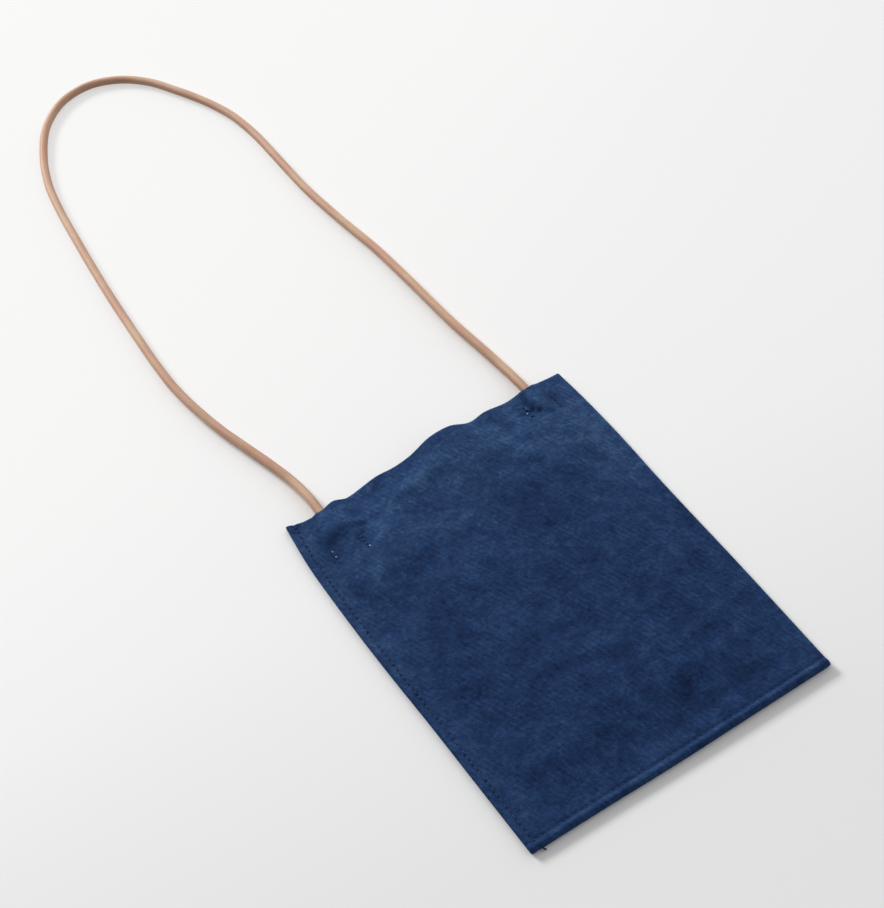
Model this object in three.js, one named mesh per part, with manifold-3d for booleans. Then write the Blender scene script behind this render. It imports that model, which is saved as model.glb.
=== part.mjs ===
// A flat canvas pouch with an open mouth and a loop of round leather cord, lying on its back.
// Millimetres. X runs across the pouch, Y from its bottom seam to its mouth, Z up from the surface it lies on.
// The origin is on that surface, under the middle of the pouch.
import * as THREE from "three";
import { mergeVertices } from "three/addons/utils/BufferGeometryUtils.js";
import Module from "manifold-3d";

// Pouch: one sheet of canvas, folded at the right and sewn along the left and the bottom.
const POUCH_WIDTH = 165;
const POUCH_LENGTH = 225;
const CLOTH = 1.2;
const SEAM_FILL = 0.8;
const POCKET_DEPTH = 5.2;
const SLOPE_RUN = 34;
const WELT_RISE = 1.4;

// Seams: a row of stitches in a shallow channel, set in from the edge.
const SIDE_SEAM_INSET = 4.2;
const BOTTOM_SEAM_INSET = 4.8;
const THREAD_DIAMETER = 0.7;
const STITCH_PITCH = 3.4;
const CHANNEL_DEPTH = 1.2;
const CHANNEL_LIP = 0.4;
const SEAM_MARGIN = 1.4;
const SEAM_END = 3;

// Cord: round leather, its two ends held behind the front panel near the corners of the mouth.
const CORD_DIAMETER = 5;
const CORD_INSET = 19;
const RIDGE_RUN = 30;
const KNOT_WIDTH = 11;
const KNOT_LENGTH = 12;
const KNOT_HEIGHT = 7.4;
const KNOT_RUN = 30;
const KNOT_CLEARANCE = 7;

// Tabs: a strip of canvas sewn under each cord end, by one short tack on each side of the cord.
const TAB_CLOTH = 0.8;
const TAB_LENGTH = 11;
const TAB_BORDER = 1;
const TAB_RISE = 1.4;
const TACK_SPACING = 15;
const TACK_LENGTH = 9;
const TACK_WIDTH = 1.6;
const TACK_HEIGHT = 0.7;
const LEFT_TACK_DROP = 33;
const RIGHT_TACK_DROP = 15;

// Waves of the mouth's front edge: place across, rise and half width of each, and how far down they reach.
const MOUTH_WAVES = [
  { at: -28, rise: 1.2, half: 14 },
  { at: 9, rise: 4.4, half: 20 },
  { at: 38, rise: 1.2, half: 12 },
];
const WAVE_REACH = 60;

// Gap that is left between pieces that touch.
const GAP = 0.3;

// Widest spacing of the grid lines of the cloth, and the steps round its edges.
const GRID_STEP = 13;
const EDGE_STEPS = 4;
const CORD_STEPS = 80;
const CORD_SIDES = 10;

// Sizes that follow from those above.
const HALF_WIDTH = POUCH_WIDTH / 2;
const MOUTH = POUCH_LENGTH / 2;
const EDGE_HEIGHT = 2 * CLOTH + SEAM_FILL;
const FILL_HEIGHT = 2 * CLOTH + POCKET_DEPTH;
const WELT_HEIGHT = EDGE_HEIGHT + WELT_RISE;
const CHANNEL_HALF = THREAD_DIAMETER / 2 + GAP;
const SIDE_SEAM = SIDE_SEAM_INSET - HALF_WIDTH;
const BOTTOM_SEAM = BOTTOM_SEAM_INSET - MOUTH;
const POCKET_LEFT = SIDE_SEAM + CHANNEL_HALF + SEAM_MARGIN;
const POCKET_RIGHT = HALF_WIDTH - CLOTH - EDGE_HEIGHT / 2;
const POCKET_BOTTOM = BOTTOM_SEAM + CHANNEL_HALF + SEAM_MARGIN;
const CORD_RADIUS = CORD_DIAMETER / 2;
const CORD_X = HALF_WIDTH - CORD_INSET;
const CORD_Z = CLOTH + GAP + TAB_CLOTH + GAP + CORD_RADIUS;
const RIDGE_HALF = -CORD_X - POCKET_LEFT;
const RIDGE_FLAT = CORD_RADIUS + 2 * GAP + TAB_CLOTH;
const RIDGE_HEIGHT = CORD_Z + CORD_RADIUS + 2 * GAP + CLOTH;
const KNOT_Z = CLOTH + GAP + KNOT_HEIGHT / 2;
const KNOT_RIDGE_HEIGHT = KNOT_Z + KNOT_HEIGHT / 2 + 2 * GAP + CLOTH;
const TAB_HALF = TACK_SPACING / 2 + TACK_WIDTH / 2 + TAB_BORDER;

// The two cord ends: the side of the pouch, and where the tab and the knot lie along it.
function cordEnd(name, side, drop) {
  const tabY = MOUTH - drop;
  const knotY = tabY - TAB_LENGTH / 2 - KNOT_CLEARANCE - KNOT_LENGTH / 2;
  return { name, side, x: side * CORD_X, tabY, knotY };
}
const CORD_ENDS = [cordEnd("left", -1, LEFT_TACK_DROP), cordEnd("right", 1, RIGHT_TACK_DROP)];

// Route of the cord's loop on the surface: place across, and distance beyond the mouth.
const LOOP_ROUTE = [
  [-66, 24],
  [-70, 42],
  [-76, 61],
  [-81, 80],
  [-85, 101],
  [-87.5, 122],
  [-88, 144],
  [-87.5, 167],
  [-86, 216],
  [-83, 267],
  [-80, 294],
  [-75.5, 321],
  [-67, 348],
  [-53.5, 373],
  [-35.5, 388],
  [-16, 391],
  [2, 383],
  [16, 368],
  [27.5, 348],
  [36.5, 326],
  [43, 303],
  [46, 278],
  [46.5, 252],
  [47, 214],
  [50, 179],
  [54, 145],
  [56, 112],
  [58, 69],
  [60.5, 42],
  [62, 24],
];

const CANVAS_LOOK = { color: 0x2a4672, roughness: 0.95, metalness: 0 };
const THREAD_LOOK = { color: 0x1d3056, roughness: 0.8, metalness: 0 };
const LEATHER_LOOK = { color: 0xcda084, roughness: 0.55, metalness: 0 };

const wasm = await Module();
wasm.setup();

// Rises smoothly from 0 to 1 as the share goes from 0 to 1.
function ease(share) {
  return THREE.MathUtils.smoothstep(share, 0, 1);
}

// A bump that is 1 within its flat half width and falls to 0 over its run.
function bump(distance, flat, run) {
  return 1 - ease((Math.abs(distance) - flat) / run);
}

// Share of the channel's full depth at a distance from a seam's line.
function channel(distance) {
  return 1 - THREE.MathUtils.clamp((Math.abs(distance) - CHANNEL_HALF) / CHANNEL_LIP, 0, 1);
}

// Height of the front panel: a low pillow, the waves of the mouth and a ridge over each cord end.
function panelHeight(x, y) {
  const inFromLeft = ease((x - POCKET_LEFT) / SLOPE_RUN);
  const inFromRight = ease((POCKET_RIGHT - x) / SLOPE_RUN);
  const inFromBottom = ease((y - POCKET_BOTTOM) / SLOPE_RUN);
  let height = THREE.MathUtils.lerp(EDGE_HEIGHT, FILL_HEIGHT, inFromLeft * inFromRight * inFromBottom);
  for (const wave of MOUTH_WAVES) {
    height += wave.rise * bump(x - wave.at, 0, wave.half) * ease(1 - (MOUTH - y) / WAVE_REACH);
  }
  for (const end of CORD_ENDS) {
    const atKnot = bump(y - end.knotY, KNOT_LENGTH / 2, KNOT_CLEARANCE);
    const ridge = THREE.MathUtils.lerp(RIDGE_HEIGHT, KNOT_RIDGE_HEIGHT, atKnot);
    const flat = THREE.MathUtils.lerp(RIDGE_FLAT, KNOT_WIDTH / 2, atKnot);
    const outward = (x - end.x) * end.side;
    const across = outward > 0 ? bump(outward, flat, RIDGE_HALF - flat) : bump(outward, flat, RIDGE_RUN);
    const along = y > end.knotY ? 1 : bump(y - end.knotY, KNOT_LENGTH / 2, KNOT_RUN);
    height = THREE.MathUtils.lerp(height, Math.max(height, ridge), across * along);
  }
  return height;
}

// Top of the canvas: the front panel, the welt along the bottom and the channels of the two seams.
function canvasTop(x, y) {
  const inWelt = y < BOTTOM_SEAM - CHANNEL_HALF - CHANNEL_LIP / 2;
  const height = inWelt ? WELT_HEIGHT : panelHeight(x, y);
  const beside = inWelt ? EDGE_HEIGHT : height;
  const cut = Math.max(channel(x - SIDE_SEAM), channel(y - BOTTOM_SEAM));
  return THREE.MathUtils.lerp(height, beside - CHANNEL_DEPTH, cut);
}

// Grid lines through the given places, with the spans between them divided evenly.
function gridLines(places) {
  const sorted = [...places].sort((a, b) => a - b);
  const lines = [sorted[0]];
  for (const place of sorted.slice(1)) {
    const last = lines.at(-1);
    const parts = Math.ceil((place - last) / GRID_STEP);
    for (let part = 1; part <= parts; part++) {
      lines.push(last + ((place - last) * part) / parts);
    }
  }
  return lines;
}

// A closed geometry with only positions and shared corners.
function welded(geometry) {
  geometry.deleteAttribute("normal");
  geometry.deleteAttribute("uv");
  return mergeVertices(geometry);
}

// A box with its grid lines at the given places and its two faces at the given heights.
function slab(across, along, bottom, top, steps = 1) {
  const geometry = new THREE.BoxGeometry(1, 1, 1, across.length - 1, along.length - 1, steps);
  const position = geometry.getAttribute("position");
  for (let i = 0; i < position.count; i++) {
    const x = across[Math.round((position.getX(i) + 0.5) * (across.length - 1))];
    const y = along[Math.round((position.getY(i) + 0.5) * (along.length - 1))];
    const share = position.getZ(i) + 0.5;
    position.setXYZ(i, x, y, THREE.MathUtils.lerp(bottom(x, y), top(x, y), share));
  }
  return welded(geometry);
}

// Rounds the sewn side, the folded side and the welt of the canvas block.
function roundEdges(geometry) {
  const position = geometry.getAttribute("position");
  const sideRadius = EDGE_HEIGHT / 2;
  const weltRadius = WELT_HEIGHT / 2;
  for (let i = 0; i < position.count; i++) {
    const x = position.getX(i);
    const y = position.getY(i);
    const height = canvasTop(x, y);
    const angle = Math.PI * (position.getZ(i) / height - 0.5);
    const atSide = Math.abs(Math.abs(x) - HALF_WIDTH) < GAP;
    const atWelt = Math.abs(y + MOUTH) < GAP;
    if (atSide) {
      position.setX(i, x - Math.sign(x) * sideRadius * (1 - Math.cos(angle)));
    }
    if (atWelt) {
      position.setY(i, y + weltRadius * (1 - Math.cos(angle)));
    }
    if (atSide || atWelt) {
      position.setZ(i, (height / 2) * (1 + Math.sin(angle)));
    }
  }
  return geometry;
}

// A solid for cutting, from a closed geometry.
function solidOf(geometry) {
  return new wasm.Manifold(
    new wasm.Mesh({
      numProp: 3,
      vertProperties: geometry.getAttribute("position").array,
      triVerts: new Uint32Array(geometry.index.array),
    }),
  );
}

// The geometry of a solid that was cut.
function geometryOf(solid) {
  const { vertProperties, triVerts } = solid.getMesh();
  return new THREE.BufferGeometry()
    .setAttribute("position", new THREE.BufferAttribute(vertProperties, 3))
    .setIndex(new THREE.BufferAttribute(triVerts, 1));
}

// The folded and sewn sheet: an outer block with its pocket cut out through the mouth.
function canvasBody() {
  const across = [POCKET_LEFT, POCKET_RIGHT];
  const along = [POCKET_BOTTOM];
  for (const end of CORD_ENDS) {
    for (const share of [0, 0.25, 0.5, 0.75, 1]) {
      across.push(end.x + end.side * THREE.MathUtils.lerp(RIDGE_FLAT, RIDGE_HALF, share));
      across.push(end.x - end.side * (RIDGE_FLAT + share * RIDGE_RUN));
    }
    along.push(end.tabY + TAB_LENGTH / 2, end.tabY - TAB_LENGTH / 2);
    along.push(end.knotY + KNOT_LENGTH / 2, end.knotY - KNOT_LENGTH / 2, end.knotY - KNOT_LENGTH / 2 - KNOT_RUN);
  }
  for (const wave of MOUTH_WAVES) {
    across.push(wave.at);
  }
  const channelLines = [-CHANNEL_HALF - CHANNEL_LIP, -CHANNEL_HALF, CHANNEL_HALF, CHANNEL_HALF + CHANNEL_LIP];
  const outerAcross = [...across, ...channelLines.map((line) => SIDE_SEAM + line), -HALF_WIDTH, HALF_WIDTH];
  const outerAlong = [...along, ...channelLines.map((line) => BOTTOM_SEAM + line), -MOUTH, MOUTH];
  const flatUnder = () => 0;
  const outer = roundEdges(
    slab(gridLines(outerAcross), gridLines(outerAlong), flatUnder, canvasTop, EDGE_STEPS),
  );
  const pocket = slab(
    gridLines(across.filter((x) => x >= POCKET_LEFT && x <= POCKET_RIGHT)),
    gridLines([...along, MOUTH, MOUTH + CLOTH]),
    () => CLOTH,
    (x, y) => panelHeight(x, Math.min(y, MOUTH)) - CLOTH,
  );
  return geometryOf(solidOf(outer).subtract(solidOf(pocket)));
}

// A thread that rises and dips once for every stitch between two ends.
class StitchLine extends THREE.Curve {
  constructor(start, end) {
    super();
    this.start = start;
    this.end = end;
    this.stitches = Math.round(start.distanceTo(end) / STITCH_PITCH);
    this.dip = (CHANNEL_DEPTH - THREAD_DIAMETER - GAP) / 2;
  }

  getPoint(share, target = new THREE.Vector3()) {
    target.lerpVectors(this.start, this.end, share);
    target.z += this.dip * (1 - Math.cos(2 * Math.PI * this.stitches * share));
    return target;
  }
}

// A row of stitches lying in its channel.
function seamThread(start, end) {
  const stepsPerStitch = 3;
  const radius = THREAD_DIAMETER / 2;
  const line = new StitchLine(start, end);
  const section = new THREE.Shape([
    new THREE.Vector2(radius, 0),
    new THREE.Vector2(0, radius),
    new THREE.Vector2(-radius, 0),
    new THREE.Vector2(0, -radius),
  ]);
  return welded(
    new THREE.ExtrudeGeometry(section, { steps: stepsPerStitch * line.stitches, extrudePath: line }),
  );
}

// Height of a seam thread's middle where it dips lowest in its channel.
const THREAD_LOW = EDGE_HEIGHT - CHANNEL_DEPTH + GAP + THREAD_DIAMETER / 2;

function sideSeamThread() {
  return seamThread(
    new THREE.Vector3(SIDE_SEAM, BOTTOM_SEAM + SEAM_END, THREAD_LOW),
    new THREE.Vector3(SIDE_SEAM, MOUTH - SEAM_END, THREAD_LOW),
  );
}

function bottomSeamThread() {
  return seamThread(
    new THREE.Vector3(SEAM_END - HALF_WIDTH, BOTTOM_SEAM, THREAD_LOW),
    new THREE.Vector3(HALF_WIDTH - SEAM_END, BOTTOM_SEAM, THREAD_LOW),
  );
}

// A short bar of thread on the front panel, beside a cord end.
function tack(end, away) {
  const middle = end.x + (away * TACK_SPACING) / 2;
  const across = [middle - TACK_WIDTH / 2, middle + TACK_WIDTH / 2];
  const along = [end.tabY - TACK_LENGTH / 2, end.tabY + TACK_LENGTH / 2];
  const under = (x, y) => panelHeight(x, y) + GAP;
  return slab(across, along, under, (x, y) => under(x, y) + TACK_HEIGHT);
}

// The canvas strip under a cord end: it dips under the cord and lies against the panel on both sides.
function cordTab(end) {
  const shoulder = CORD_RADIUS + GAP;
  const low = CORD_Z - CORD_RADIUS - GAP;
  const high = (x, y) => panelHeight(x, y) - CLOTH - GAP;
  const dipOf = (x, start) => ease((Math.abs(x - end.x) - start) / TAB_RISE);
  const top = (x, y) => THREE.MathUtils.lerp(low, high(x, y), dipOf(x, shoulder));
  const bottom = (x, y) => THREE.MathUtils.lerp(low, high(x, y), dipOf(x, shoulder + TAB_CLOTH)) - TAB_CLOTH;
  const across = [end.x];
  for (const out of [shoulder, shoulder + TAB_CLOTH, shoulder + TAB_RISE, shoulder + TAB_CLOTH + TAB_RISE, TAB_HALF]) {
    across.push(end.x - out, end.x + out);
  }
  const along = [end.tabY - TAB_LENGTH / 2, end.tabY + TAB_LENGTH / 2];
  return slab(gridLines(across), along, bottom, top);
}

// The knot that stops a cord end under its tab.
function stopKnot(end) {
  const knot = new THREE.SphereGeometry(0.5, 14, 8);
  knot.scale(KNOT_WIDTH, KNOT_LENGTH, KNOT_HEIGHT);
  knot.translate(end.x, end.knotY, KNOT_Z);
  return welded(knot);
}

// The cord, from one knot through its tab and the mouth, round the loop and back to the other knot.
function leatherCord() {
  const inside = (end) => [
    new THREE.Vector3(end.x, end.knotY + KNOT_LENGTH / 2 + GAP, CORD_Z),
    new THREE.Vector3(end.x, end.tabY, CORD_Z),
    new THREE.Vector3(end.x, MOUTH - CORD_RADIUS, CORD_Z),
    new THREE.Vector3(end.x, MOUTH + CORD_DIAMETER, CORD_Z),
  ];
  const [left, right] = CORD_ENDS;
  const onSurface = CORD_RADIUS + GAP;
  const loop = LOOP_ROUTE.map(([x, beyond]) => new THREE.Vector3(x, MOUTH + beyond, onSurface));
  const route = new THREE.CatmullRomCurve3([...inside(left), ...loop, ...inside(right).reverse()]);
  const section = new THREE.Shape().absarc(0, 0, CORD_RADIUS, 0, 2 * Math.PI);
  return welded(
    new THREE.ExtrudeGeometry(section, {
      steps: CORD_STEPS,
      curveSegments: CORD_SIDES / 2,
      extrudePath: route,
    }),
  );
}

// The pouch with its pieces.
const pochette = new THREE.Group();

function addPiece(name, geometry, look) {
  geometry.computeVertexNormals();
  const piece = new THREE.Mesh(geometry, new THREE.MeshStandardMaterial(look));
  piece.name = name;
  pochette.add(piece);
}

addPiece("canvas_body", canvasBody(), CANVAS_LOOK);
addPiece("side_seam_thread", sideSeamThread(), THREAD_LOOK);
addPiece("bottom_seam_thread", bottomSeamThread(), THREAD_LOOK);
for (const end of CORD_ENDS) {
  addPiece(end.name + "_outer_tack", tack(end, end.side), THREAD_LOOK);
  addPiece(end.name + "_inner_tack", tack(end, -end.side), THREAD_LOOK);
  addPiece(end.name + "_cord_tab", cordTab(end), CANVAS_LOOK);
  addPiece(end.name + "_stop_knot", stopKnot(end), LEATHER_LOOK);
}
addPiece("leather_cord", leatherCord(), LEATHER_LOOK);

export default pochette;
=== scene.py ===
import math

import bmesh
import bpy
import numpy as np
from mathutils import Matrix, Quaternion, Vector, noise


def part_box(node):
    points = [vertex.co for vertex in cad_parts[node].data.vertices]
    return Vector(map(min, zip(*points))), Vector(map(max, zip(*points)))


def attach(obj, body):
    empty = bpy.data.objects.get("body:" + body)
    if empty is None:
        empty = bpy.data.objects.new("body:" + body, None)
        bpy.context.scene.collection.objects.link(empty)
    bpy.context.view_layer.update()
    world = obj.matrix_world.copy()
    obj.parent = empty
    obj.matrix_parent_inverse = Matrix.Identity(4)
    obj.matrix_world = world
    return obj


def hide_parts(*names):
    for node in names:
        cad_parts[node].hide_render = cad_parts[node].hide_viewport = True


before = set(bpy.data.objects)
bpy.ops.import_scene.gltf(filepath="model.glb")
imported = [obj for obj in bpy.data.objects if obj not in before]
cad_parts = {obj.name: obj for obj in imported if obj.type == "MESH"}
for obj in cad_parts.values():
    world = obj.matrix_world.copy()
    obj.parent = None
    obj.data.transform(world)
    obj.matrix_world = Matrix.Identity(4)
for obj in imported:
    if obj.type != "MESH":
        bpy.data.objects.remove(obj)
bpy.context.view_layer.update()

# Sizes are in millimetres, as on the cutting table; MM turns them into metres.
MM = 0.001

# Points of a mesh that are nearer to each other than this are joined.
MERGE = 0.01

# Camera: where it stands, what the middle of its picture shows, and how far it leans.
CAMERA_PLACE = (-236.05, -478.7, 752.7)
CAMERA_AIM = (5.7, 106, 0)
CAMERA_LEAN = math.radians(-11.96)
FOCAL_PIXELS = 1900
PHOTO_HEIGHT = 908
SENSOR = 36

# The nearest and the farthest that the camera sees, in metres.
NEAREST_SEEN = 0.01
FARTHEST_SEEN = 50

# The pouch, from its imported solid.
_, BODY_HIGH = (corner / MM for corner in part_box("canvas_body"))
HALF_WIDTH = BODY_HIGH.x
MOUTH = BODY_HIGH.y
WIDTH = 2 * HALF_WIDTH
LENGTH = 2 * MOUTH
CLOTH = 1.2
EDGE_HEIGHT = 3.2
EDGE_RADIUS = EDGE_HEIGHT / 2
EDGE_PINCH = 0.5
BOTTOM_ROUND = 1.7
FILL_HEIGHT = 7.4
RIM_ROUND = 0.35
RIM_STEPS = 2
RIM_ANGLE = math.radians(60)

# The mesh of a panel, across and along: the length of each stretch and its number of steps.
EDGE_STEPS = 6
LEFT_COLUMNS = ((7, 14), (36, 34))
MIDDLE_COLUMNS = 46
RIGHT_COLUMNS = ((31, 29), (5, 6))
LOW_ROWS = ((7, 14),)
MIDDLE_ROWS = 84
MOUTH_ROWS = ((52, 44), (4, 6))

# How far the edges of the empty pouch bow out: place along the edge, and the bow there.
LEFT_BOW = ((-112.5, 0.2), (-70, 1.3), (-30, 2.3), (10, 3.7), (55, 4.3), (85, 3.9), (112.5, 1.7))
RIGHT_BOW = ((-112.5, 0), (-40, 1), (20, 1.3), (65, 2.2), (95, 1.7), (112.5, 0.9))
BOTTOM_BOW = ((-82.5, 0.2), (-40, 0.4), (-10, 0.9), (40, 0.7), (82.5, 0.5))

# Seams: their inset from the edges, their stitches, and the depth, flat and run of their grooves.
SIDE_INSET = 4.2
BOTTOM_INSET = 4.8
SIDE_SEAM = SIDE_INSET - HALF_WIDTH
BOTTOM_SEAM = BOTTOM_INSET - MOUTH
SEAM_END = 3
STITCH_PITCH = 3.4
SIDE_RUN_LENGTH = LENGTH - BOTTOM_INSET - 2 * SEAM_END
BOTTOM_RUN_LENGTH = WIDTH - 2 * SEAM_END
SIDE_STITCHES = round(SIDE_RUN_LENGTH / STITCH_PITCH)
BOTTOM_STITCHES = round(BOTTOM_RUN_LENGTH / STITCH_PITCH)
SIDE_PITCH = SIDE_RUN_LENGTH / SIDE_STITCHES
BOTTOM_PITCH = BOTTOM_RUN_LENGTH / BOTTOM_STITCHES
SIDE_GROOVE = (0.5, 0.2, 1.3)
BOTTOM_GROOVE = (0.3, 0.1, 0.9)
STITCH_LENGTH = 2.5
THREAD_DIAMETER = 0.7
STITCH_SIDES = 8
STITCH_RINGS = 7
STITCH_DIP = 0.3
STITCH_LIFT = 0.05
STITCH_BACK_LIFT = 0.1
STITCH_LEAN = 0.06
STITCH_VARIES = 1.7
STITCH_LAYER = 0.3

# The rolled welt below the bottom seam: it is lower on the left and full on the right.
WELT_RISE = 1.3
WELT_RUN = 2.6
WELT_DROOP = 0.3
WELT_LEFT_SHARE = 0.72
WELT_FULL_FROM = -20
WELT_FULL_RUN = 70

# Where the panel lies flat on its seam allowances, and the run of the slope beside them.
FLAT_LEFT = -75.5
FLAT_RIGHT = 79.5
FLAT_BOTTOM = -101
SIDE_RUN = 34
BOTTOM_RUN = 26

# Folds and crumples keep clear of the seams and the fold, and fade out toward the mouth.
CALM_EDGE = 2
CALM_RUN = 9
CALM_MOUTH = 14

# Crumples of the washed cloth: size of a cell, height, and layer of the noise.
CRUMPLES = ((27, 0.34, 1), (12, 0.14, 2))

# Sharp crests of its creases, which a coarser noise shifts, and the slight lifts of the back panel.
CREST_CELL = 19
CREST_RISE = 0.14
CREST_LAYER = 3
CREST_SHIFT = 0.5
CREST_SHIFT_CELL = 1.7
CREST_SHIFT_LAYER = 5
CREST_SHARPNESS = 3
BACK_CELL = 24
BACK_LIFT = 0.35
BACK_LAYER = 8

# The cord: its size, its height behind the panel and on the floor, its mesh and its slight wobble.
CORD_DIAMETER = 5
CORD_RADIUS = CORD_DIAMETER / 2
CORD_Z = 4.7
CORD_REST = 2.8
CORD_STEPS = 16
CORD_SIDES = 20
WOBBLE = 0.025
WOBBLE_ALONG = 0.09
WOBBLE_AROUND = 0.4

# What holds the cord's ends: knots, tabs and tacks.
KNOT_LENGTH = 12
KNOT_STRAND = 1.5
KNOT_TURNS = 2.5
KNOT_STATIONS = 60
KNOT_SIDES = 12
KNOT_LIFT = 0.4
KNOT_GAP = 0.3
TAB_LENGTH = 11
TAB_CLOTH = 0.8
TAB_RISE = 1.6
TAB_HALF = 9.3
TAB_CLEAR = 0.3
TAB_COLUMNS = 28
TAB_ROWS = 8
TACK_OFFSET = 7.8
TACK_STEP = 2.9
TACK_STITCHES = 4
TACK_LENGTH = 2.1
TACK_WIDTH = 1.05
TACK_LIFT = 0.12
TACK_TURN = 0.25

# The two cord ends: where each lies across at the mouth and at its tab, its side, and what holds it.
ENDS = {
    "left": {
        "mouth": -63.9, "x": -61.6, "side": -1, "tab": MOUTH - 33, "knot": MOUTH - 51.5, "slope": -0.25,
        "hump": MOUTH - 16.5, "swell": 2.4,
    },
    "right": {
        "mouth": 61.7, "x": 60.8, "side": 1, "tab": MOUTH - 15, "knot": MOUTH - 33.5, "slope": -0.14,
        "hump": MOUTH - 11.5, "swell": 1.4,
    },
}

# The panel over a cord end: a ridge that is narrow at the mouth, a bulge at the knot and a hump.
COVER_GAP = 0.2
CORD_COVER = CORD_Z + CORD_RADIUS + CLOTH + COVER_GAP
KNOT_COVER = 8.7
KNOT_SHOULDER = 7
KNOT_WIDER = 1.6
KNOT_RUN = 30
RIDGE_FLAT = 2.2
RIDGE_OUTER_RUN = 9
RIDGE_INNER_RUN = 28
RIDGE_OUTER_MOUTH_RUN = 3
RIDGE_INNER_MOUTH_RUN = 5
RIDGE_SPREAD = 34
HUMP_LENGTH = 12
HUMP_FLAT = 2
HUMP_RUN = 9
HUMP_FROM_MOUTH = 6

# Dimples at the tacks: depth, flat and run across and along, and how far they stay off the cord.
DIMPLE_DEPTH = 1.1
DIMPLE_ACROSS = (1, 4.5)
DIMPLE_ALONG = (3, 6)
DIMPLE_CLEAR = 3

# Route of the cord's loop on the surface: place across, and distance beyond the mouth.
LOOP_ROUTE = (
    (-66.7, 24), (-70.8, 42), (-76, 61), (-81, 80), (-85, 101), (-87.5, 122), (-88, 144), (-87.5, 167),
    (-85.6, 216), (-82, 267), (-79.6, 294), (-75.5, 321), (-67, 348), (-53.5, 373), (-35.5, 388),
    (-16, 391), (2, 383), (16, 368), (26.8, 347.4), (36.1, 326), (43, 303), (46, 278), (46.5, 252),
    (47, 214), (50, 179), (54, 145), (56, 112), (58, 69), (60.5, 42), (62, 24),
)

# The front panel's edge at the mouth: place across, height, and how far it has drawn back.
MOUTH_EDGE = (
    (-82.5, 3.2, 0), (-73, 4.6, 4.2), (-64, 8.2, 6.6), (-56.5, 8, 4.4), (-48, 4.8, 4.7), (-42, 4.8, 3.8),
    (-30, 6.5, 3.1), (-20, 5.8, 3), (-10, 7.1, 2.7), (3, 10.9, 1.3), (15, 11, 1.3), (27, 6.3, 2.2),
    (35, 7.2, 1.7), (48, 5.6, 2), (62, 8.2, 2.6), (75, 4.9, 1.2), (82.5, 3.2, 0.2),
)
MOUTH_REACH = 58
BACK_SETBACK = 0.45

# Folds of the front panel: a line, its half width and its rise, which is negative in a valley.
FOLDS = (
    (((-68, 89), (-65, 91.3), (-61, 92.6), (-56, 91.6), (-49.5, 89.3)), 3.6, -1.9),
    (((-63, 92), (-57, 91.8), (-50.5, 89.8)), 3.3, -0.8),
    (((-44, 96), (-22, 97), (-6, 96)), 10, 0.8),
    (((-31, 92), (-20, 94)), 5, 0.5),
    (((-3, 104), (-33, 86), (-63, 56)), 13, 0.9),
    (((21, 110), (26, 100), (33, 86), (40, 74), (47, 64)), 9, 1.1),
    (((36.5, 105), (38.8, 99.7), (39.8, 95)), 4.5, -1.2),
    (((53, 86), (61, 82), (69, 81), (74, 74)), 9, 0.5),
    (((-40, 48), (0, 46), (45, 48)), 13, -0.9),
    (((-24, -23), (-8, -24), (4, -28)), 6, -0.6),
    (((-27, -44), (-6, -48), (10, -54)), 7, -0.6),
    (((-74, -15), (-50, -39)), 7, -0.6),
    (((53, -64), (36, -76), (18, -91)), 8, -0.8),
    (((68, -97), (45, -97), (-2, -101)), 7, -0.7),
    (((-60, -62), (-44, -80)), 8, 0.4),
    (((20, 20), (60, 4)), 9, 0.4),
    (((-64, 18), (-38, 30)), 9, 0.4),
)

# Tight creases that the tacks pull into the panel beside the right cord end, given as the folds are.
PUCKERS = (
    (((56.2, 110), (55.6, 104), (56.2, 98), (58, 94.5)), 2.6, -1.6),
    (((49.5, 99), (55, 97.5)), 2.4, -0.9),
    (((57, 94), (63, 89.5)), 2.6, -0.5),
)

# Paler cloth toward the mouth, along the sewn side and on the welt, worn paler on all that stands up, and
# painted shade in the valleys of folds and puckers.
TOP_PALER = 0.8
TOP_PALER_FROM = 10
TOP_PALER_RUN = 70
TOP_PALER_LEFT_RUN = 30
LEFT_PALER = 0.4
LEFT_PALER_FLAT = 4
LEFT_PALER_RUN = 20
WELT_PALER = 0.5
WELT_PALER_RUN = 1.5
FOLD_WEAR_AND_SHADE = 0.35
PUCKER_SHADE = 0.7
CREST_WEAR = 0.35
RIM_WEAR = 0.4
RIM_WEAR_RUN = 2
LEAST_WEAR_AND_SHADE = -0.1

# Paler cloth in a strip along each side, which ends below the mouth on the right, and above the bottom
# seam.
SIDE_PALER = 0.5
SIDE_PALER_FROM = 48
SIDE_PALER_RUN = 22
SIDE_PALER_LOW = -15
SIDE_PALER_LOW_RUN = 40
RIGHT_PALER_HIGH = 60
RIGHT_PALER_HIGH_RUN = 25
BOTTOM_PALER = 0.2
BOTTOM_PALER_LINE = -97
BOTTOM_PALER_FLAT = 5
BOTTOM_PALER_RUN = 12

# Darker at the upper left corner, and painted shade in the cloth's dimples at the tacks.
CORNER_PLACE = (-80, 110)
CORNER_DARK = 0.5
CORNER_FLAT = 1
CORNER_RUN = 6
TACK_SHADE = 0.35
TACK_SHADE_FLAT = 1
TACK_SHADE_RUN = 4
TACK_SHADE_STRETCH = 2

# Places of paler and darker cloth, the darker ones partly painted shade: across, along, half width, half
# length, and how much paler; darker below 0.
PALER_AND_SHADED_PLACES = (
    (-20, 79, 24, 13, -0.75), (-49, 90, 8, 5, -0.6), (-38, 42, 14, 9, -0.5), (68, 104, 12, 8, -0.4),
    (38, 6, 14, 10, 0.5), (8, -55, 18, 9, -0.5), (-2, -90, 16, 9, 0.5), (-28, -54, 14, 8, 0.35),
)
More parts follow.
